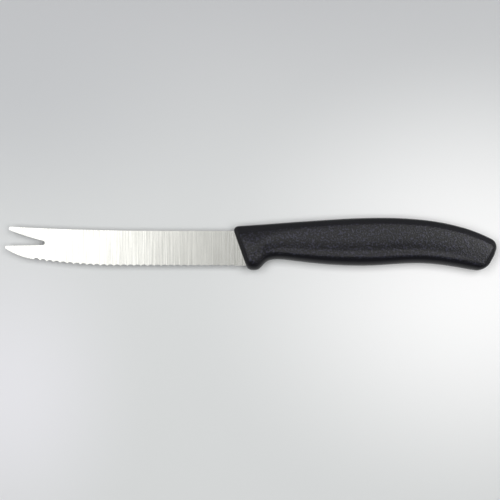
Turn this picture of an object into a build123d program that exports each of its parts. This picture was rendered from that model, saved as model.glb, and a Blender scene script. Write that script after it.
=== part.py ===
from build123d import *
from math import asin, cos, degrees, floor, radians, sin, sqrt, tan
import os

os.makedirs("parts", exist_ok=True)

# A tomato knife with a forked tip and a wavy edge, lying on its side. Sizes are in millimetres.
# X runs along the knife with the tip towards -X, +Y is the side of the spine and +Z is up.
# The origin is on the surface under the knife, below the middle of its length and its depth.

# Overall sizes
blade_length = 110.0
blade_depth = 15.9
handle_length = 113.9
handle_thickness = 13.0
back_rise = 5.95
guard_lip = 2.15
front_lean = 19.6

# Blade: stamped strip, ground thinner from the spine to the edge
blade_thickness = 1.0
edge_thickness = 0.4
finish_step = 0.03
spine_curve_run = 70.0
spine_curve_rise = 1.9
belly_run = 52.0
belly_tight_run = 12.6
belly_tight_rise = 3.05

# Fork: a slot between a long lower prong and a slightly shorter upper prong
slot_length = 18.1
slot_root_radius = 1.03
slot_root_drop = 5.5
slot_mouth_drop = 6.86
slot_spread = 13.5
lower_prong_end = 1.05
lower_prong_round = 0.48
upper_prong_setback = 1.8
upper_prong_end = 1.42
upper_prong_round = 0.62

# Edge: a narrow bevel and a row of notches, both ground from the under side; the notches get
# shallower towards the handle
notch_pitch = 3.07
notch_depth_at_tip = 0.75
notch_depth_at_heel = 0.4
notch_grind_angle = 20.0
bevel_width = 1.3
bevel_land = 0.1
plain_tip = 12.75
plain_heel = 4.6

# Hidden tang, locked by the plastic that fills its holes
heel_cover = 3.5
tang_inset = 1.2
tang_depth = 9.0
tang_length = 55.0
tang_round = 2.0
tang_hole = 5.0
tang_hole_place_shares = (0.36, 0.8)

# Handle roundings
back_round = 2.3
front_round = 2.4
front_corner = 3.0
front_lower_corner = 1.5
butt_round = 3.0
butt_corner = 4.7
butt_lower_corner = 4.0

# How far a cut runs past what it cuts
overrun = 2.0

# Handle sections from the front to the butt. Each runs from a point on the back to a point on the
# belly. The columns are the back point's place along and height, the belly point's place along and
# drop, the height of the side where the back's rounding ends, the place and height of the
# shoulder, and the heights of the crown, the finger hollow and the ridge above the belly.
handle_section_shares = (
    (0.000, 0.350, 0.000, 0.976, 0.51, 0.15, 0.69, 0.86, 0.88, 0.91),
    (0.012, 0.362, 0.012, 0.989, 0.52, 0.18, 0.74, 0.89, 0.91, 0.92),
    (0.033, 0.379, 0.031, 0.993, 0.55, 0.26, 0.81, 0.94, 0.94, 0.93),
    (0.054, 0.410, 0.049, 0.956, 0.58, 0.34, 0.87, 0.98, 0.93, 0.89),
    (0.080, 0.444, 0.069, 0.861, 0.63, 0.38, 0.91, 0.99, 0.89, 0.85),
    (0.105, 0.477, 0.086, 0.782, 0.69, 0.37, 0.92, 0.97, 0.86, 0.84),
    (0.135, 0.520, 0.107, 0.734, 0.75, 0.33, 0.93, 0.96, 0.86, 0.87),
    (0.173, 0.576, 0.140, 0.719, 0.81, 0.28, 0.94, 0.97, 0.87, 0.92),
    (0.223, 0.650, 0.186, 0.748, 0.85, 0.25, 0.95, 0.98, 0.88, 0.96),
    (0.308, 0.766, 0.266, 0.810, 0.88, 0.24, 0.96, 1.00, 0.88, 0.98),
    (0.425, 0.915, 0.387, 0.869, 0.89, 0.23, 0.97, 1.027, 0.88, 0.99),
    (0.557, 1.000, 0.527, 0.868, 0.90, 0.23, 0.97, 1.027, 0.87, 0.99),
    (0.672, 0.937, 0.651, 0.820, 0.90, 0.24, 0.97, 1.027, 0.87, 0.99),
    (0.770, 0.721, 0.738, 0.831, 0.89, 0.25, 0.96, 1.00, 0.89, 0.99),
    (0.859, 0.333, 0.816, 0.888, 0.87, 0.25, 0.94, 0.98, 0.91, 0.97),
    (0.921, -0.074, 0.869, 0.945, 0.85, 0.25, 0.92, 0.95, 0.92, 0.94),
    (0.979, -0.588, 0.908, 0.987, 0.82, 0.25, 0.89, 0.92, 0.90, 0.91),
    (1.014, -0.924, 0.953, 1.036, 0.79, 0.25, 0.86, 0.89, 0.87, 0.89),
)
crown_place_share = 0.53
hollow_place_share = 0.71
ridge_place_share = 0.79

# Bend of a section at the back, as shares of its rounding and of the side's height there, the
# start of the side panel, and the bend at the belly, as shares of the stretch below the ridge.
# The first and last points of a half section leave the parting line with a little draft.
back_bend_shares = ((0, 0), (0.03, 0.36), (0.06, 0.66), (0.4, 0.86))
panel_start_share = 1.1
panel_start_rise_share = 0.05
belly_bend_shares = ((0.5, 0.89), (0.18, 0.6), (0.04, 0.3), (0, 0))

# Extra sections where the ends round off, between the first two and the last two above
front_step_shares = (0.12, 0.45)
butt_step_shares = (0.6, 0.35, 0.15, 0.04)

# Datum: the blade's middle plane, with X zero where the handle's front meets the cutting edge
# and Y zero on the straight part of the spine
guard_drop = blade_depth + guard_lip
datum = Plane(
    origin=(
        (blade_length - handle_length) / 2,
        (guard_drop - back_rise) / 2,
        handle_thickness / 2,
    )
)


# The handle's front leans, so its place along the knife depends on the height
def front_at(height):
    return -(height + blade_depth) * tan(radians(front_lean))


# A plane across the blade, with its own X along +Y and its own Y up
def across(place):
    return Plane(origin=datum.from_local_coords((place, 0, 0)), x_dir=(0, 1, 0), z_dir=(1, 0, 0))


# The blade's cross-section is a wedge, thickest at the highest point of the spine
def half_wedge(height):
    taper = (blade_thickness - edge_thickness) / (blade_depth + spine_curve_rise)
    return (edge_thickness + taper * (height + blade_depth)) / 2


def wedge_outline(extra):
    top = spine_curve_rise + overrun
    bottom = -blade_depth - overrun
    return (
        (top, half_wedge(top) + extra),
        (bottom, half_wedge(bottom) + extra),
        (bottom, -half_wedge(bottom) - extra),
        (top, -half_wedge(top) - extra),
    )


# A plane across the cutting edge at a point, with its own X towards the spine and its own Y up
def edge_plane(point, along):
    return Plane(
        origin=datum.from_local_coords(point), x_dir=(along.Y, -along.X, 0), z_dir=-along
    )


# The bevel runs from a narrow land under the upper face down and inwards through the under face
def bevel_outline():
    land_height = half_wedge(-blade_depth) - bevel_land
    slope = (land_height + half_wedge(bevel_width - blade_depth)) / bevel_width
    return (
        (-overrun, land_height + slope * overrun),
        ((land_height + blade_thickness) / slope, -blade_thickness),
        (-overrun, -blade_thickness),
    )


# Curved part of the cutting edge ahead of the straight part
belly_start = belly_run - blade_length
belly_sweep = belly_run - belly_tight_run
belly_radius = (belly_sweep**2 + belly_tight_rise**2) / (2 * belly_tight_rise)


# Height of the cutting edge, and the angle that it turns by, at a place along the blade
def edge_at(place):
    ahead = max(belly_start - place, 0)
    turn = asin(ahead / belly_radius)
    return belly_radius * (1 - cos(turn)) - blade_depth, turn


# Room that the covered part of the blade takes in the handle: the heel behind the handle's
# front and the tang with its holes. It runs out ahead of the front, so that it cuts it cleanly.
tang_top = -tang_inset
tang_bottom = -tang_inset - tang_depth
hole_height = (tang_top + tang_bottom) / 2

with BuildPart() as tang_room:
    with BuildSketch(datum) as tang_outline:
        with BuildLine():
            Polyline(
                (front_at(tang_top) - overrun, tang_top),
                (-overrun, -blade_depth),
                (heel_cover, -blade_depth),
                (front_at(tang_bottom) + heel_cover, tang_bottom),
                (tang_length, tang_bottom),
                (tang_length, tang_top),
                close=True,
            )
        make_face()
        fillet(tang_outline.vertices().group_by(Axis.X)[-1], radius=tang_round)
        with Locations(*[(tang_length * share, hole_height) for share in tang_hole_place_shares]):
            Circle(tang_hole / 2, mode=Mode.SUBTRACT)
    extrude(amount=blade_thickness, both=True)
    with BuildSketch(across(front_at(0) - 2 * overrun)):
        with BuildLine():
            Polyline(*wedge_outline(finish_step), close=True)
        make_face()
    extrude(amount=tang_length - front_at(0) + 3 * overrun, mode=Mode.INTERSECT)

# The covered part of the blade itself starts at the handle's front
front_plane = Plane(
    origin=datum.from_local_coords((0, -blade_depth)),
    z_dir=(cos(radians(front_lean)), sin(radians(front_lean)), 0),
)
with BuildPart() as tang:
    add(tang_room.part)
    split(bisect_by=front_plane, keep=Keep.TOP)

# Blade with its fork, wavy edge and tang
with BuildPart() as blade:
    with BuildSketch(datum) as blade_outline:
        with BuildLine():
            edge = Line((0, -blade_depth), (belly_start, -blade_depth))
            belly_tight_point = (belly_tight_run - blade_length, belly_tight_rise - blade_depth)
            belly = TangentArc(edge @ 1, belly_tight_point, tangent=edge % 1)
            lower_point = (-blade_length, -slot_mouth_drop - lower_prong_end)
            tip_arc = TangentArc(belly @ 1, lower_point, tangent=belly % 1)
            lower_end = Line(tip_arc @ 1, (-blade_length, -slot_mouth_drop))
            root_centre = (slot_length - blade_length - slot_root_radius, -slot_root_drop)
            root = CenterArc(root_centre, slot_root_radius, -90, 180 - slot_spread)
            Line(lower_end @ 1, root @ 0)
            upper_end_place = upper_prong_setback - blade_length
            upper_end = Line(
                (upper_end_place, spine_curve_rise - upper_prong_end),
                (upper_end_place, spine_curve_rise),
            )
            TangentArc(root @ 1, upper_end @ 0, tangent=root % 1)
            spine = Line((front_at(0), 0), (spine_curve_run - blade_length, 0))
            TangentArc(spine @ 1, upper_end @ 1, tangent=spine % 1)
            Line(spine @ 0, edge @ 0)
        make_face()
        tips = blade_outline.vertices().group_by(Axis.X)
        fillet(tips[0], radius=lower_prong_round)
        upper_tips = blade_outline.vertices().sort_by_distance(upper_end @ (1 / 2))
        fillet(upper_tips[:2], radius=upper_prong_round)
    extrude(amount=blade_thickness, both=True)
    with BuildSketch(across(-blade_length - overrun)):
        with BuildLine():
            Polyline(*wedge_outline(0), close=True)
        make_face()
    extrude(amount=blade_length + 2 * overrun, mode=Mode.INTERSECT)

    # The bevel follows the straight edge, then turns with both arcs of the belly
    with BuildSketch(edge_plane(edge @ 1, edge % 1)):
        Polygon(*bevel_outline(), align=None)
    extrude(amount=edge.length, mode=Mode.SUBTRACT)
    for arc in (belly, tip_arc):
        with BuildSketch(edge_plane(arc @ 0, arc % 0)):
            Polygon(*bevel_outline(), align=None)
        arc_axis = Axis(datum.from_local_coords(arc.arc_center), (0, 0, -1))
        revolve(axis=arc_axis, revolution_arc=degrees(arc.length / arc.radius), mode=Mode.SUBTRACT)

    # Each notch is a round furrow that slopes from the upper face of the edge up the under side
    notch_count = floor((blade_length - plain_tip - plain_heel) / notch_pitch)
    slope = radians(notch_grind_angle)
    for number in range(notch_count):
        place = plain_tip - blade_length + (number + 1 / 2) * notch_pitch
        height, turn = edge_at(place)
        towards_heel_share = number / max(notch_count - 1, 1)
        depth = notch_depth_at_tip + (notch_depth_at_heel - notch_depth_at_tip) * towards_heel_share
        half_edge = half_wedge(height)
        furrow_radius = (notch_pitch / 2) ** 2 / (2 * depth * sin(slope))
        out = depth - furrow_radius * sin(slope)
        up = half_edge - furrow_radius * cos(slope)
        centre = datum.from_local_coords((place + out * sin(turn), height + out * cos(turn), up))
        along_furrow = (sin(turn) * cos(slope), cos(turn) * cos(slope), -sin(slope))
        with BuildSketch(Plane(origin=centre, z_dir=along_furrow)):
            Circle(furrow_radius)
        extrude(amount=notch_pitch + overrun, both=True, mode=Mode.SUBTRACT)

    add(tang.part)

blade.part.label = "blade"
export_step(blade.part, "parts/blade.step")


# How far a rounded end draws in at a depth behind its flat face
def drawn_in(radius, depth):
    if depth >= radius:
        return 0
    return radius - sqrt(radius**2 - (radius - depth) ** 2)


def blend(first, second, share):
    return tuple(a + (b - a) * share for a, b in zip(first, second))


# A point of the handle's outline: the lean of the front fades out towards the butt
def outline_point(along_share, height):
    return Vector(front_at(height) * (1 - along_share) + handle_length * along_share, height)


def section_ends(row):
    back = outline_point(row[0], row[1] * back_rise)
    belly = outline_point(row[2], -row[3] * guard_drop)
    return back, belly


# Distance of a point from the flat face that an end row describes
def depth_behind(point, end_row):
    back, belly = section_ends(end_row)
    return abs((point - back).cross((belly - back).normalized()).Z)


# Control points of the upper half of a section, as places from the back and heights
def section_controls(row, start, depth, side):
    edge, shoulder_place, shoulder, crown, hollow, ridge = row[4:]
    belly_round = depth * (1 - ridge_place_share)
    bend = [(start + back_round * place, side * edge * height) for place, height in back_bend_shares]
    rise = edge + (shoulder - edge) * panel_start_rise_share
    panel = [
        (start + back_round * panel_start_share, side * rise),
        (start + depth * shoulder_place, side * shoulder),
        (start + depth * crown_place_share, side * crown),
        (start + depth * hollow_place_share, side * hollow),
        (start + depth * ridge_place_share, side * ridge),
    ]
    rim = [
        (start + depth - belly_round * inward, side * ridge * height)
        for inward, height in belly_bend_shares
    ]
    return bend + panel + rim


rows = list(handle_section_shares)
front_rows = [blend(rows[0], rows[1], share) for share in front_step_shares]
butt_rows = [blend(rows[-1], rows[-2], share) for share in butt_step_shares]
rows = rows[:1] + front_rows + rows[1:-1] + butt_rows + rows[-1:]

# Handle moulded round the tang: a loft through closed sections that fan from the leaning front
# to the slanted butt, less the room that the tang takes
with BuildPart() as handle:
    for row in rows:
        back, belly = section_ends(row)
        back_depths = [depth_behind(back, end_row) for end_row in (rows[0], rows[-1])]
        belly_depths = [depth_behind(belly, end_row) for end_row in (rows[0], rows[-1])]
        back_in = drawn_in(front_corner, back_depths[0]) + drawn_in(butt_corner, back_depths[1])
        belly_in = drawn_in(front_lower_corner, belly_depths[0])
        belly_in += drawn_in(butt_lower_corner, belly_depths[1])
        side_in = drawn_in(front_round, (back_depths[0] + belly_depths[0]) / 2)
        side_in += drawn_in(butt_round, (back_depths[1] + belly_depths[1]) / 2)
        depth = (belly - back).length - back_in - belly_in
        controls = section_controls(row, back_in, depth, handle_thickness / 2 - side_in)
        under_controls = [(place, -height) for place, height in controls]
        spans = len(controls) - 3
        knots = [0] * 3 + list(range(spans + 1)) + [spans] * 3
        down = (belly - back).normalized()
        section_plane = Plane(
            origin=datum.from_local_coords(back), x_dir=down, z_dir=(down.Y, -down.X, 0)
        )
        with BuildSketch(section_plane):
            with BuildLine():
                BSpline(controls, knots, degree=3)
                BSpline(under_controls, knots, degree=3)
            make_face()
    loft()
    add(tang_room.part, mode=Mode.SUBTRACT)

handle.part.label = "handle"
export_step(handle.part, "parts/handle.step")

print("notches", notch_count)
print("blade", round(blade.part.volume, 1), "handle", round(handle.part.volume, 1))
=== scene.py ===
from math import pi, radians, sqrt, tan

import bmesh
import bpy
import numpy as np
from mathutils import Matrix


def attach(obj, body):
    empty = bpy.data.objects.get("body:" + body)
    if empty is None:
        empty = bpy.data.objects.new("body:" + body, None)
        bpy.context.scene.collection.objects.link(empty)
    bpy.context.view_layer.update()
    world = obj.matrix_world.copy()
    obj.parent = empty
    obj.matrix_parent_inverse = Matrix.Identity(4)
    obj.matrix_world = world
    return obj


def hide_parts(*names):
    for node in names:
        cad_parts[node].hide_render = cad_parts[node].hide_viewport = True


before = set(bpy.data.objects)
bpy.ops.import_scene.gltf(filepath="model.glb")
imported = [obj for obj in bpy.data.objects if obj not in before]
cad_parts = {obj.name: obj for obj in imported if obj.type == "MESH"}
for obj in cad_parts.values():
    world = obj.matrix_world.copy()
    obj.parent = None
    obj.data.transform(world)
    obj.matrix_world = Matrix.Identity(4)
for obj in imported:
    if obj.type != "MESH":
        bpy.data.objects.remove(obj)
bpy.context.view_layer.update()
mm = 0.001
print("frame loaded:", sorted(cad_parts))


# small helpers used by every piece
def linearColour(code, alpha=1.0):
    channels = [int(code[i:i + 2], 16) / 255 for i in (1, 3, 5)]
    return [c / 12.92 if c <= 0.04045 else ((c + 0.055) / 1.055) ** 2.4 for c in channels] + [alpha]


def addNode(tree, kind, settings=None, links=None):
    node = tree.nodes.new(kind)
    for key, value in (settings or {}).items():
        if isinstance(key, int) or key in node.inputs:
            node.inputs[key].default_value = value
        else:
            setattr(node, key, value)
    for key, source in (links or {}).items():
        tree.links.new(source, node.inputs[key])
    return node


def newMaterial(name):
    material = bpy.data.materials.new(name)
    material.use_nodes = True
    tree = material.node_tree
    tree.nodes.clear()
    return material, tree


def meshPiece(name, points, faces, smooth=True):
    mesh = bpy.data.meshes.new(name)
    mesh.from_pydata([tuple(p) for p in points], [], faces)
    mesh.validate()
    piece = bpy.data.objects.new(name, mesh)
    bpy.context.scene.collection.objects.link(piece)
    mesh.polygons.foreach_set("use_smooth", [smooth] * len(mesh.polygons))
    return piece


# Stainless steel, ground across the blade by a belt: soft streaks from spine to edge, bright
# where they catch a lamp. The real lines are near 0.02 mm, drawn here up to 0.5 mm wide so
# that some of them show at a distance.
groundSteel = {
    "colour": "#CBCBC6",
    "dullColour": "#B1B1AC",
    "roughness": 0.15,
    "roughnessSwing": 0.06,
    "anisotropy": 0.55,
    "streakWidthMm": 0.45,
    "fineWidthMm": 0.24,
    "streakRun": 60,
    "fineShare": 0.45,
    "streakSpan": (0.38, 0.62),
    "roughSpan": (0.3, 0.7),
    "acrossThickness": 40,
    "bumpMm": 0.013,
}
# the bevel and the notches come from a finer wheel: brighter, shorter lines
edgeSteel = dict(groundSteel, colour="#D0D1CE", dullColour="#B4B5B2", roughness=0.24, streakWidthMm=0.2,
                 fineWidthMm=0.1, streakRun=8, bumpMm=0.006)


def groundSteelMaterial(name, look):
    material, tree = newMaterial(name)
    place = addNode(tree, "ShaderNodeTexCoord").outputs["Object"]
    stretched = []
    for width in (look["streakWidthMm"] * mm, look["fineWidthMm"] * mm):
        scale = (1 / width, 1 / (width * look["streakRun"]), look["acrossThickness"])
        stretched.append(addNode(tree, "ShaderNodeMapping", {"Scale": scale}, {"Vector": place}).outputs[0])
    broadNoise = addNode(tree, "ShaderNodeTexNoise", {"Scale": 1.0, "Detail": 2.0, "Roughness": 0.6},
                         {"Vector": stretched[0]})
    fineNoise = addNode(tree, "ShaderNodeTexNoise", {"Scale": 1.0, "Detail": 3.0, "Roughness": 0.7},
                        {"Vector": stretched[1]})
    both = addNode(tree, "ShaderNodeMix", {"data_type": "FLOAT", 0: look["fineShare"]},
                   {2: broadNoise.outputs["Fac"], 3: fineNoise.outputs["Fac"]})
    streaks = addNode(tree, "ShaderNodeMapRange", {
        "From Min": look["streakSpan"][0], "From Max": look["streakSpan"][1]}, {"Value": both.outputs[0]})
    colour = addNode(tree, "ShaderNodeMix", {"data_type": "RGBA"}, {0: streaks.outputs[0]})
    colour.inputs[6].default_value = linearColour(look["dullColour"])
    colour.inputs[7].default_value = linearColour(look["colour"])
    rough = addNode(tree, "ShaderNodeMapRange", {
        "From Min": look["roughSpan"][0], "From Max": look["roughSpan"][1],
        "To Min": look["roughness"] + look["roughnessSwing"] / 2,
        "To Max": look["roughness"] - look["roughnessSwing"] / 2}, {"Value": both.outputs[0]})
    bump = addNode(tree, "ShaderNodeBump", {"Strength": 1.0, "Distance": look["bumpMm"] * mm},
                   {"Height": both.outputs[0]})
    along = addNode(tree, "ShaderNodeTangent", {"direction_type": "UV_MAP", "uv_map": "along"})
    shader = addNode(tree, "ShaderNodeBsdfPrincipled", {"Metallic": 1.0, "Anisotropic": look["anisotropy"]},
                     {"Base Color": colour.outputs[2], "Roughness": rough.outputs[0],
                      "Normal": bump.outputs[0], "Tangent": along.outputs[0]})
    addNode(tree, "ShaderNodeOutputMaterial", None, {"Surface": shader.outputs[0]})
    return material


# Handle: closed sections that fan from the leaning front to the slanted butt
handleShape = {
    "bladeLength": 110.0,
    "bladeDepth": 15.9,
    "length": 113.9,
    "thickness": 13.0,
    "backRise": 5.95,
    "guardDrop": 18.05,
    "frontLean": 19.6,
    "backRound": 2.3,
    "frontRound": 2.4,
    "frontCorner": 3.0,
    "frontLowerCorner": 1.5,
    "buttRound": 3.0,
    "buttCorner": 4.7,
    "buttLowerCorner": 4.0,
    "crownPlace": 0.53,
    "hollowPlace": 0.71,
    "ridgePlace": 0.79,
    "ridgeRoom": 1.1,
    "firstRise": 0.05,
    "stations": 330,
    "stationCrowding": 0.93,
    "halfPoints": 84,
    "pointCrowding": 0.25,
    "partingPlaces": (0.012, 0.024, 0.042, 0.066),
    "partingDips": (0.0, 0.05, 0.05, 0.0),
    # where the grain starts: shares of the roundings and of the depth, then mm near the front
    "grainBack": 1.05,
    "grainBelly": 0.14,
    "grainEnds": 0.75,
    "grainFront": 1.4,
    "grainFrontReach": 30,
    "grainFade": 0.5,
    # the moulding mark on the butt: middle and width in mm
    "gateMark": (110.0, -6.35, 6.5),
    "gateWide": 1.3,
}

# Polypropylene, injection moulded in a spark-eroded mould: near black, with a fine grain on the side panels.
# The grain's glints are painted into the colour as grey specks, and the roundings are smoother and darker,
# with few painted glints. The real grain is near 0.2 mm, drawn here 0.5 to 0.75 mm wide so that it shows at a
# distance.
mouldedPlastic = {
    "colour": "#030305",
    # the grey of the painted glints
    "paintedGlintColour": "#2A2A36",
    "roughness": 0.32,
    "rimRoughness": 0.26,
    "grainMm": 0.75,
    "fineGrainMm": 0.5,
    "grainDepthMm": 0.16,
    "speckSpan": (0.49, 0.65),
    "rimSpecks": 0.1,
    "gateEdge": 0.8,
    "gateDip": 0.6,
}


def mouldedPlasticMaterial(look):
    material, tree = newMaterial("polypropylene_grained_black")
    place = addNode(tree, "ShaderNodeTexCoord").outputs["Object"]
    grainMask = addNode(tree, "ShaderNodeAttribute", {"attribute_name": "grain"}).outputs["Fac"]
    coarse = addNode(tree, "ShaderNodeTexVoronoi", {"Scale": 1 / (look["grainMm"] * mm),
                     "feature": "SMOOTH_F1", "Smoothness": 0.6}, {"Vector": place})
    fine = addNode(tree, "ShaderNodeTexNoise", {"Scale": 1 / (look["fineGrainMm"] * mm), "Detail": 2.0},
                   {"Vector": place})
    height = addNode(tree, "ShaderNodeMix", {"data_type": "FLOAT", 0: 0.5},
                     {2: coarse.outputs["Distance"], 3: fine.outputs["Fac"]})
    masked = addNode(tree, "ShaderNodeMath", {"operation": "MULTIPLY"},
                     {0: height.outputs[0], 1: grainMask})
    toGate = addNode(tree, "ShaderNodeVectorMath", {"operation": "DISTANCE", 1: tuple(
        v * mm for v in handleShape["gateMark"])}, {0: place})
    gateReach = handleShape["gateWide"] * mm / 2
    gate = addNode(tree, "ShaderNodeMapRange", {
        "From Min": gateReach * look["gateEdge"], "From Max": gateReach, "To Min": -look["gateDip"],
        "To Max": 0.0}, {"Value": toGate.outputs["Value"]})
    masked = addNode(tree, "ShaderNodeMath", {"operation": "ADD"},
                     {0: masked.outputs[0], 1: gate.outputs[0]})
    bump = addNode(tree, "ShaderNodeBump", {"Strength": 1.0, "Distance": look["grainDepthMm"] * mm},
                   {"Height": masked.outputs[0]})
    rough = addNode(tree, "ShaderNodeMix", {"data_type": "FLOAT", 2: look["rimRoughness"],
                    3: look["roughness"]}, {0: grainMask})
    # grey specks painted into the colour where the grain stands high: painted glints, mostly left off the
    # roundings
    specks = addNode(tree, "ShaderNodeMapRange", {
        "From Min": look["speckSpan"][0], "From Max": look["speckSpan"][1]}, {"Value": height.outputs[0]})
    speckled = addNode(tree, "ShaderNodeMix", {"data_type": "FLOAT", 2: look["rimSpecks"]},
                       {0: grainMask, 3: specks.outputs[0]})
    colour = addNode(tree, "ShaderNodeMix", {"data_type": "RGBA"}, {0: speckled.outputs[0]})
    colour.inputs[6].default_value = linearColour(look["colour"])
    colour.inputs[7].default_value = linearColour(look["paintedGlintColour"])
    shader = addNode(tree, "ShaderNodeBsdfPrincipled", {"IOR": 1.45},
                     {"Base Color": colour.outputs[2], "Roughness": rough.outputs[0],
                      "Normal": bump.outputs[0]})
    addNode(tree, "ShaderNodeOutputMaterial", None, {"Surface": shader.outputs[0]})
    return material


# back along and height, belly along and drop, edge height, shoulder place and height, crown,
# finger hollow, ridge
handleRows = (
    (0.000, 0.350, 0.000, 0.976, 0.51, 0.15, 0.69, 0.86, 0.88, 0.91),
    (0.012, 0.362, 0.012, 0.989, 0.52, 0.18, 0.74, 0.89, 0.91, 0.92),
    (0.033, 0.379, 0.031, 0.993, 0.55, 0.26, 0.81, 0.94, 0.94, 0.93),
    (0.054, 0.410, 0.049, 0.956, 0.58, 0.34, 0.87, 0.98, 0.93, 0.89),
    (0.080, 0.444, 0.069, 0.861, 0.63, 0.38, 0.91, 0.99, 0.89, 0.85),
    (0.105, 0.477, 0.086, 0.782, 0.69, 0.37, 0.92, 0.97, 0.86, 0.84),
    (0.135, 0.520, 0.107, 0.734, 0.75, 0.33, 0.93, 0.96, 0.86, 0.87),
    (0.173, 0.576, 0.140, 0.719, 0.81, 0.28, 0.94, 0.97, 0.87, 0.92),
    (0.223, 0.650, 0.186, 0.748, 0.85, 0.25, 0.95, 0.98, 0.88, 0.96),
    (0.308, 0.766, 0.266, 0.810, 0.88, 0.24, 0.96, 1.00, 0.88, 0.98),
    (0.425, 0.915, 0.387, 0.869, 0.89, 0.23, 0.97, 1.027, 0.88, 0.99),
    (0.557, 1.000, 0.527, 0.868, 0.90, 0.23, 0.97, 1.027, 0.87, 0.99),
    (0.672, 0.937, 0.651, 0.820, 0.90, 0.24, 0.97, 1.027, 0.87, 0.99),
    (0.770, 0.721, 0.738, 0.831, 0.89, 0.25, 0.96, 1.00, 0.89, 0.99),
    (0.859, 0.333, 0.816, 0.888, 0.87, 0.25, 0.94, 0.98, 0.91, 0.97),
    (0.921, -0.074, 0.869, 0.945, 0.85, 0.25, 0.92, 0.95, 0.92, 0.94),
    (0.979, -0.588, 0.908, 0.987, 0.82, 0.25, 0.89, 0.92, 0.90, 0.91),
    (1.014, -0.924, 0.953, 1.036, 0.79, 0.25, 0.86, 0.89, 0.87, 0.89),
)
backBend = ((0, 0), (0.03, 0.36), (0.06, 0.66), (0.4, 0.86))
bellyBend = ((0.5, 0.89), (0.18, 0.6), (0.04, 0.3), (0, 0))
sectionSpans = len(backBend) + 5 + len(bellyBend) - 3


def naturalSpline(places, values, wanted):
    n = len(places)
    step = np.diff(places)
    slope = np.diff(values, axis=0) / step[:, None]
    matrix = np.eye(n)
    right = np.zeros((n, values.shape[1]))
    for i in range(1, n - 1):
        matrix[i, i - 1:i + 2] = step[i - 1], 2 * (step[i - 1] + step[i]), step[i]
        right[i] = 6 * (slope[i] - slope[i - 1])
    bend = np.linalg.solve(matrix, right)
    span = np.clip(np.searchsorted(places, wanted) - 1, 0, n - 2)
    h = step[span][:, None]
    a = (places[span + 1] - wanted)[:, None] / h
    b = 1 - a
    return (a * values[span] + b * values[span + 1]
            + ((a ** 3 - a) * bend[span] + (b ** 3 - b) * bend[span + 1]) * h ** 2 / 6)


def splineBasis(count, wanted):
    # cubic, clamped, evenly spaced knots: the rule that the handle's sections follow
    spans = count - 3
    knots = np.array([0] * 3 + list(range(spans + 1)) + [spans] * 3, float)
    basis = np.zeros((len(wanted), len(knots) - 1))
    for row, u in enumerate(wanted):
        basis[row, min(int(u), spans - 1) + 3] = 1
    for degree in range(1, 4):
        lower = basis
        basis = np.zeros((len(wanted), len(knots) - 1 - degree))
        for i in range(len(knots) - 1 - degree):
            first = knots[i + degree] - knots[i]
            second = knots[i + degree + 1] - knots[i + 1]
            if first > 0:
                basis[:, i] += (wanted - knots[i]) / first * lower[:, i]
            if second > 0:
                basis[:, i] += (knots[i + degree + 1] - wanted) / second * lower[:, i + 1]
    return basis


def drawnIn(radius, depth):
    return 0.0 if depth >= radius else radius - sqrt(radius ** 2 - (radius - max(depth, 0)) ** 2)


def cross2(a, b):
    return a[0] * b[1] - a[1] * b[0]


def handleStation(row, ends, shape):
    def outlinePoint(along, height):
        front = -(height + shape["bladeDepth"]) * tan(radians(shape["frontLean"]))
        return np.array((front * (1 - along) + shape["length"] * along, height))

    def endsOf(values):
        return (outlinePoint(values[0], values[1] * shape["backRise"]),
                outlinePoint(values[2], -values[3] * shape["guardDrop"]))

    def depthBehind(point, values):
        back, belly = endsOf(values)
        return abs(cross2(point - back, (belly - back) / np.linalg.norm(belly - back)))

    back, belly = endsOf(row)
    backDepths = [depthBehind(back, end) for end in ends]
    bellyDepths = [depthBehind(belly, end) for end in ends]
    backIn = drawnIn(shape["frontCorner"], backDepths[0]) + drawnIn(shape["buttCorner"], backDepths[1])
    bellyIn = drawnIn(shape["frontLowerCorner"], bellyDepths[0])
    bellyIn += drawnIn(shape["buttLowerCorner"], bellyDepths[1])
    sideIn = drawnIn(shape["frontRound"], (backDepths[0] + bellyDepths[0]) / 2)
    sideIn += drawnIn(shape["buttRound"], (backDepths[1] + bellyDepths[1]) / 2)
    length = np.linalg.norm(belly - back)
    depth = length - backIn - bellyIn
    side = shape["thickness"] / 2 - sideIn
    edge, shoulderPlace, shoulder, crown, hollow, ridge = row[4:]
    bellyRound = depth * (1 - shape["ridgePlace"])
    controls = [(backIn + shape["backRound"] * p, side * edge * h) for p, h in backBend]
    controls += [
        (backIn + shape["backRound"] * shape["ridgeRoom"],
         side * (edge + (shoulder - edge) * shape["firstRise"])),
        (backIn + depth * shoulderPlace, side * shoulder),
        (backIn + depth * shape["crownPlace"], side * crown),
        (backIn + depth * shape["hollowPlace"], side * hollow),
        (backIn + depth * shape["ridgePlace"], side * ridge),
    ]
    controls += [(backIn + depth - bellyRound * i, side * ridge * h) for i, h in bellyBend]
    return back, (belly - back) / length, np.array(controls), depth


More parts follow.
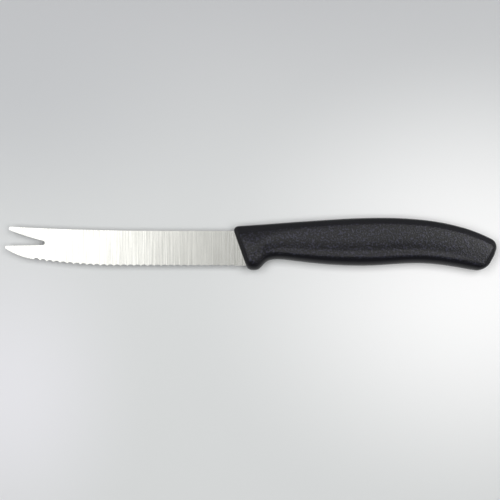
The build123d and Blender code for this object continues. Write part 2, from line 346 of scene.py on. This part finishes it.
def makeHandle(shape, rows):
    table = np.array(rows, float)
    places = np.concatenate([[0], np.cumsum(np.hypot(
        np.diff(table[:, 0] + table[:, 2]) * shape["length"] / 2, np.diff(table[:, 1]) * shape["backRise"]))])
    total = places[-1]
    # stations crowd where the ends round off
    share = np.linspace(0, 1, shape["stations"])
    wanted = total * (share - shape["stationCrowding"] * np.sin(2 * pi * share) / (2 * pi))
    sampled = naturalSpline(places, table, wanted)
    u = np.linspace(0, 1, shape["halfPoints"])
    u = (u - shape["pointCrowding"] * np.sin(2 * pi * u) / (2 * pi)) * sectionSpans
    beside = np.array(shape["partingPlaces"])
    u = np.concatenate([[0], beside, u[1:-1], sectionSpans - beside[::-1], [sectionSpans]])
    dip = np.zeros(len(u))
    dip[1:len(beside) + 1] = shape["partingDips"]
    dip[-len(beside) - 1:-1] = -np.array(shape["partingDips"])[::-1]
    count = len(u)
    basis = splineBasis(sectionSpans + 3, np.minimum(u, sectionSpans))
    origin = np.array(((shape["bladeLength"] - shape["length"]) / 2,
                       (shape["guardDrop"] - shape["backRise"]) / 2, shape["thickness"] / 2))
    points, grain = [], []
    for along, row in zip(wanted, sampled):
        back, down, controls, depth = handleStation(row, (table[0], table[-1]), shape)
        half = basis @ controls
        half[:, 0] += dip
        ring = [(p, h) for p, h in half] + [(p, -h) for p, h in half[-2:0:-1]]
        for p, h in ring:
            spot = back + down * p
            points.append(origin + (spot[0], spot[1], h))
            nearFront = max(1 - along / shape["grainFrontReach"], 0) ** 2 * shape["grainFront"]
            fromBack = (p - controls[0][0]) - shape["backRound"] * shape["grainBack"] - nearFront
            fromBelly = controls[-1][0] - p - depth * shape["grainBelly"]
            fromFront = along - shape["frontRound"] * shape["grainEnds"]
            fromButt = total - along - shape["buttRound"] * shape["grainEnds"]
            nearest = min(fromBack, fromBelly, fromFront, fromButt)
            grain.append(min(max(nearest / shape["grainFade"], 0), 1))
    around = 2 * count - 2
    faces = []
    for station in range(len(sampled) - 1):
        for i in range(around):
            j = (i + 1) % around
            a = station * around
            faces.append((a + i, a + j, a + around + j, a + around + i))
    last = (len(sampled) - 1) * around
    faces.append(tuple(reversed(range(around))))
    faces.append(tuple(last + i for i in range(around)))
    piece = meshPiece("handle_moulded", [p * mm for p in points], faces)
    attribute = piece.data.attributes.new("grain", "FLOAT", "POINT")
    attribute.data.foreach_set("value", grain)
    return piece


handle = makeHandle(handleShape, handleRows)
repair = bmesh.new()
repair.from_mesh(handle.data)
bmesh.ops.recalc_face_normals(repair, faces=repair.faces)
repair.to_mesh(handle.data)
repair.free()
handle.data.materials.append(mouldedPlasticMaterial(mouldedPlastic))
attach(handle, "root")
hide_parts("handle")
print("handle made:", len(handle.data.polygons), "faces")

# Blade: the stamped strip with its corners eased and its lines running across
bladeFinish = {
    "easedMm": 0.05,
    "flatDegrees": 0.2,
    "sharpDegrees": 60,
    "easedAboveMm": -2.2,
    "middleMm": 6.5,
    "nearMiddleMm": 0.1,
    "mergeMm": 0.0005,
    "bevelTilt": 0.996,
    "furrowTilt": 0.3,
    "edgeBelowMm": -7,
    "linesPerMetre": 4,
}


def makeBlade(node, finish):
    shell = bmesh.new()
    shell.from_mesh(node.data)
    bmesh.ops.remove_doubles(shell, verts=shell.verts, dist=finish["mergeMm"] * mm)
    bmesh.ops.dissolve_limit(shell, angle_limit=radians(finish["flatDegrees"]),
                            verts=shell.verts, edges=shell.edges)
    corners = []
    for edge in shell.edges:
        first, second = (vertex.co for vertex in edge.verts)
        outer = abs((first.z + second.z) / 2 - finish["middleMm"] * mm) > finish["nearMiddleMm"] * mm
        level = abs(first.z - second.z) < finish["nearMiddleMm"] * mm
        if (len(edge.link_faces) == 2 and edge.calc_face_angle() > radians(finish["sharpDegrees"])
                and outer and level and min(first.y, second.y) > finish["easedAboveMm"] * mm):
            corners.append(edge)
    bmesh.ops.bevel(shell, geom=corners, offset=finish["easedMm"] * mm, offset_type="OFFSET", segments=2,
                    profile=0.5, affect="EDGES", clamp_overlap=True)
    mesh = bpy.data.meshes.new("blade_ground")
    shell.to_mesh(mesh)
    shell.free()
    piece = bpy.data.objects.new("blade_ground", mesh)
    bpy.context.scene.collection.objects.link(piece)
    along = mesh.uv_layers.new(name="along")
    for loop in mesh.loops:
        spot = mesh.vertices[loop.vertex_index].co
        along.data[loop.index].uv = (spot.x * finish["linesPerMetre"], spot.y * finish["linesPerMetre"])
    # the bevel and the furrows of the notches face down and away from the spine
    for face in mesh.polygons:
        tilted = -finish["bevelTilt"] < face.normal.z < -finish["furrowTilt"]
        furrow = tilted and face.center.y < finish["edgeBelowMm"] * mm
        face.material_index = 1 if furrow else 0
    print("eased corners:", len(corners), "furrow faces:", sum(f.material_index for f in mesh.polygons))
    return piece


blade = makeBlade(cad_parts["blade"], bladeFinish)
blade.data.materials.append(groundSteelMaterial("stainless_ground_across", groundSteel))
blade.data.materials.append(groundSteelMaterial("stainless_wheel_ground_edge", edgeSteel))
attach(blade, "root")
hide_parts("blade")
print("blade made:", len(blade.data.polygons), "faces")

# Table, lamps and camera
room = {
    "floorSide": 4.0,
    "floorPlain": "#ABACAD",
    "floorColour": "#D6D8D8",
    # painted pools of light and shade that only the camera sees: middle and reach in mm, colour at the
    # middle, strength
    "paintedPools": (
        ((0, 175), (600, 190), "#B6B7BA", 1.0),
        ((-112, 70), (120, 80), "#B6B8BC", 0.4),
        ((112, -20), (150, 120), "#FFFFFF", 0.9),
        ((-112, -70), (70, 90), "#E6E6EA", 0.9),
    ),
    "fillHigh": 0.13,
    "fillLow": 0.05,
    "backdropBright": 0.8,
    "lampHeight": 0.9,
    "sensorMm": 36,
    "cameraHeight": 0.5,
    "cameraSpot": (-0.2, -2.7),
    "viewWidthMm": 228.4,
    "handleMiddle": 6.5,
}


# Laminate, pale and satin: no gloss to speak of. The camera sees painted pools of light and shade on it,
# other surfaces an even grey
def makeTable(look):
    half = look["floorSide"] / 2
    floor = meshPiece("table_top", [(-half, -half, 0), (half, -half, 0), (half, half, 0), (-half, half, 0)],
                      [(0, 1, 2, 3)], smooth=False)
    material, tree = newMaterial("laminate_pale_satin")
    place = addNode(tree, "ShaderNodeTexCoord").outputs["Object"]
    tint = addNode(tree, "ShaderNodeRGB")
    tint.outputs[0].default_value = linearColour(look["floorColour"])
    shade = tint.outputs[0]
    # each pool mixes a painted patch of light or shade into the colour that camera rays see
    for (x, y), (wide, high), colour, strength in look["paintedPools"]:
        spread = addNode(tree, "ShaderNodeMapping", {"Location": (-x / wide, -y / high, 0), "Scale": (
            1000 / wide, 1000 / high, 1)}, {"Vector": place})
        ball = addNode(tree, "ShaderNodeVectorMath", {"operation": "LENGTH"}, {0: spread.outputs[0]})
        fade = addNode(tree, "ShaderNodeMapRange", {"interpolation_type": "SMOOTHSTEP", "To Min": strength,
                       "To Max": 0.0}, {"Value": ball.outputs["Value"]})
        mixed = addNode(tree, "ShaderNodeMix", {"data_type": "RGBA"}, {0: fade.outputs[0], 6: shade})
        mixed.inputs[7].default_value = linearColour(colour)
        shade = mixed.outputs[2]
    seen = addNode(tree, "ShaderNodeLightPath").outputs["Is Camera Ray"]
    chosen = addNode(tree, "ShaderNodeMix", {"data_type": "RGBA"}, {0: seen, 7: shade})
    chosen.inputs[6].default_value = linearColour(look["floorPlain"])
    shader = addNode(tree, "ShaderNodeBsdfPrincipled", {"Roughness": 0.6, "Specular IOR Level": 0.2},
                     {"Base Color": chosen.outputs[2]})
    addNode(tree, "ShaderNodeOutputMaterial", None, {"Surface": shader.outputs[0]})
    floor.data.materials.append(material)
    return floor


makeTable(room)

world = bpy.data.worlds.new("soft_room")
bpy.context.scene.world = world
world.use_nodes = True
tree = world.node_tree
tree.nodes.clear()
direction = addNode(tree, "ShaderNodeTexCoord").outputs["Generated"]
axes = addNode(tree, "ShaderNodeSeparateXYZ", None, {0: direction}).outputs


# share of the way from one value to another
def between(value, ends, settings=None):
    span = {"From Min": ends[0], "From Max": ends[1], **(settings or {})}
    return addNode(tree, "ShaderNodeMapRange", span, {"Value": value}).outputs[0]


# the same, softly, for the tangent by which a direction leans along X or Y
def leaning(axis, ends):
    ratio = addNode(tree, "ShaderNodeMath", {"operation": "DIVIDE"}, {0: axes[axis], 1: axes[2]})
    return between(ratio.outputs[0], ends, {"interpolation_type": "SMOOTHSTEP"})


def levelled(share, low, high):
    return addNode(tree, "ShaderNodeMapRange", {"To Min": low, "To Max": high}, {"Value": share}).outputs[0]


def combined(operation, first, second):
    node = addNode(tree, "ShaderNodeMath", {"operation": operation}, {0: first})
    if isinstance(second, float):
        node.inputs[1].default_value = second
    else:
        tree.links.new(second, node.inputs[1])
    return node.outputs[0]


# what polished surfaces mirror: a bright window high on the left, a pale ceiling that is
# brighter towards the spine's side, a paler patch on the right and dim walls. Pairs say where
# each starts and where it is full: parts of the direction for overhead and for the walls, and
# tangents from straight up for the rest
mirroredRoom = {
    "overhead": (0.72, 0.97),
    "ceilingAcross": (-0.3, 0.04),
    "ceilingAlong": (0.02, 0.08),
    "ceilingBright": 0.66,
    "ceilingRight": 0.15,
    "wallsAcross": (-0.8, 0.8),
    "wallLevels": (0.18, 0.42),
    "endWalls": (0.35, 0.85),
    "endWallsBright": 0.25,
    "patchNear": (-0.3, -0.05),
    "windowRight": (-0.068, -0.12),
    "windowLeft": (-0.6, -0.4),
    "windowFar": (0.28, 0.12),
    "windowBright": 1.68,
    "palerLeft": (0.2, 0.45),
    "palerRight": (1.2, 0.9),
    "palerFar": (0.8, 0.5),
    "palerBright": 3.4,
}


def patch(left, right, near, far):
    return combined("MULTIPLY", combined("MULTIPLY", leaning(0, left), leaning(0, right)),
                    combined("MULTIPLY", near, leaning(1, far)))


overhead = between(axes[2], mirroredRoom["overhead"], {"interpolation_type": "SMOOTHSTEP"})
endWalls = between(combined("ABSOLUTE", axes[0], 0.0), mirroredRoom["endWalls"])
walls = levelled(between(axes[1], mirroredRoom["wallsAcross"]), *mirroredRoom["wallLevels"])
walls = combined("ADD", walls, levelled(endWalls, 0.0, mirroredRoom["endWallsBright"]))
across = levelled(leaning(1, mirroredRoom["ceilingAcross"]), 0.0, mirroredRoom["ceilingBright"])
lengthways = levelled(leaning(0, mirroredRoom["ceilingAlong"]), 1.0, mirroredRoom["ceilingRight"])
ceiling = combined("MULTIPLY", overhead, combined("MULTIPLY", across, lengthways))
near = leaning(1, mirroredRoom["patchNear"])
window = patch(mirroredRoom["windowRight"], mirroredRoom["windowLeft"], near, mirroredRoom["windowFar"])
paler = patch(mirroredRoom["palerLeft"], mirroredRoom["palerRight"], near, mirroredRoom["palerFar"])
above = combined("GREATER_THAN", axes[2], 0.0)
lit = combined("ADD", levelled(window, 0.0, mirroredRoom["windowBright"]),
               levelled(paler, 0.0, mirroredRoom["palerBright"]))
mirrored = combined("ADD", combined("ADD", ceiling, walls), combined("MULTIPLY", lit, above))
fill = levelled(axes[2], room["fillLow"], room["fillHigh"])
rays = addNode(tree, "ShaderNodeLightPath").outputs
forGlossy = addNode(tree, "ShaderNodeMix", {"data_type": "FLOAT"},
                    {0: rays["Is Glossy Ray"], 2: fill, 3: mirrored}).outputs[0]
level = addNode(tree, "ShaderNodeMix", {"data_type": "FLOAT", 3: room["backdropBright"]},
                {0: rays["Is Camera Ray"], 2: forGlossy}).outputs[0]
background = addNode(tree, "ShaderNodeBackground", {"Color": linearColour("#FFFFFF")}, {"Strength": level})
addNode(tree, "ShaderNodeOutputWorld", None, {"Surface": background.outputs[0]})

# two soft boxes in one level plane, left and right of the camera and narrow across the knife, so
# that the shadow beside the knife stays short: span along X, span along Y, brightness
lamps = {
    "softbox_left": ((-0.45, -0.12), (-0.25, 0.39), 7.35),
    "softbox_right": ((0.12, 0.45), (-0.25, 0.39), 7.35),
}
for name, (spanX, spanY, brightness) in lamps.items():
    size = (spanX[1] - spanX[0], spanY[1] - spanY[0])
    data = bpy.data.lights.new(name, "AREA")
    data.shape = "RECTANGLE"
    data.size, data.size_y = size
    data.energy = brightness * pi * size[0] * size[1]
    lamp = bpy.data.objects.new(name, data)
    lamp.location = ((spanX[0] + spanX[1]) / 2, (spanY[0] + spanY[1]) / 2, room["lampHeight"])
    lamp.visible_glossy = False
    bpy.context.scene.collection.objects.link(lamp)

cameraData = bpy.data.cameras.new("camera")
camera = bpy.data.objects.new("camera", cameraData)
bpy.context.scene.collection.objects.link(camera)
camera.location = (room["cameraSpot"][0] * mm, room["cameraSpot"][1] * mm, room["cameraHeight"])
cameraData.sensor_fit = "HORIZONTAL"
cameraData.sensor_width = room["sensorMm"]
reach = room["cameraHeight"] - room["handleMiddle"] * mm
cameraData.lens = room["sensorMm"] * reach / (room["viewWidthMm"] * mm)
cameraData.clip_start = 0.01
bpy.context.scene.camera = camera
bpy.context.scene.view_settings.view_transform = "Standard"
print("room, lamps and camera made")
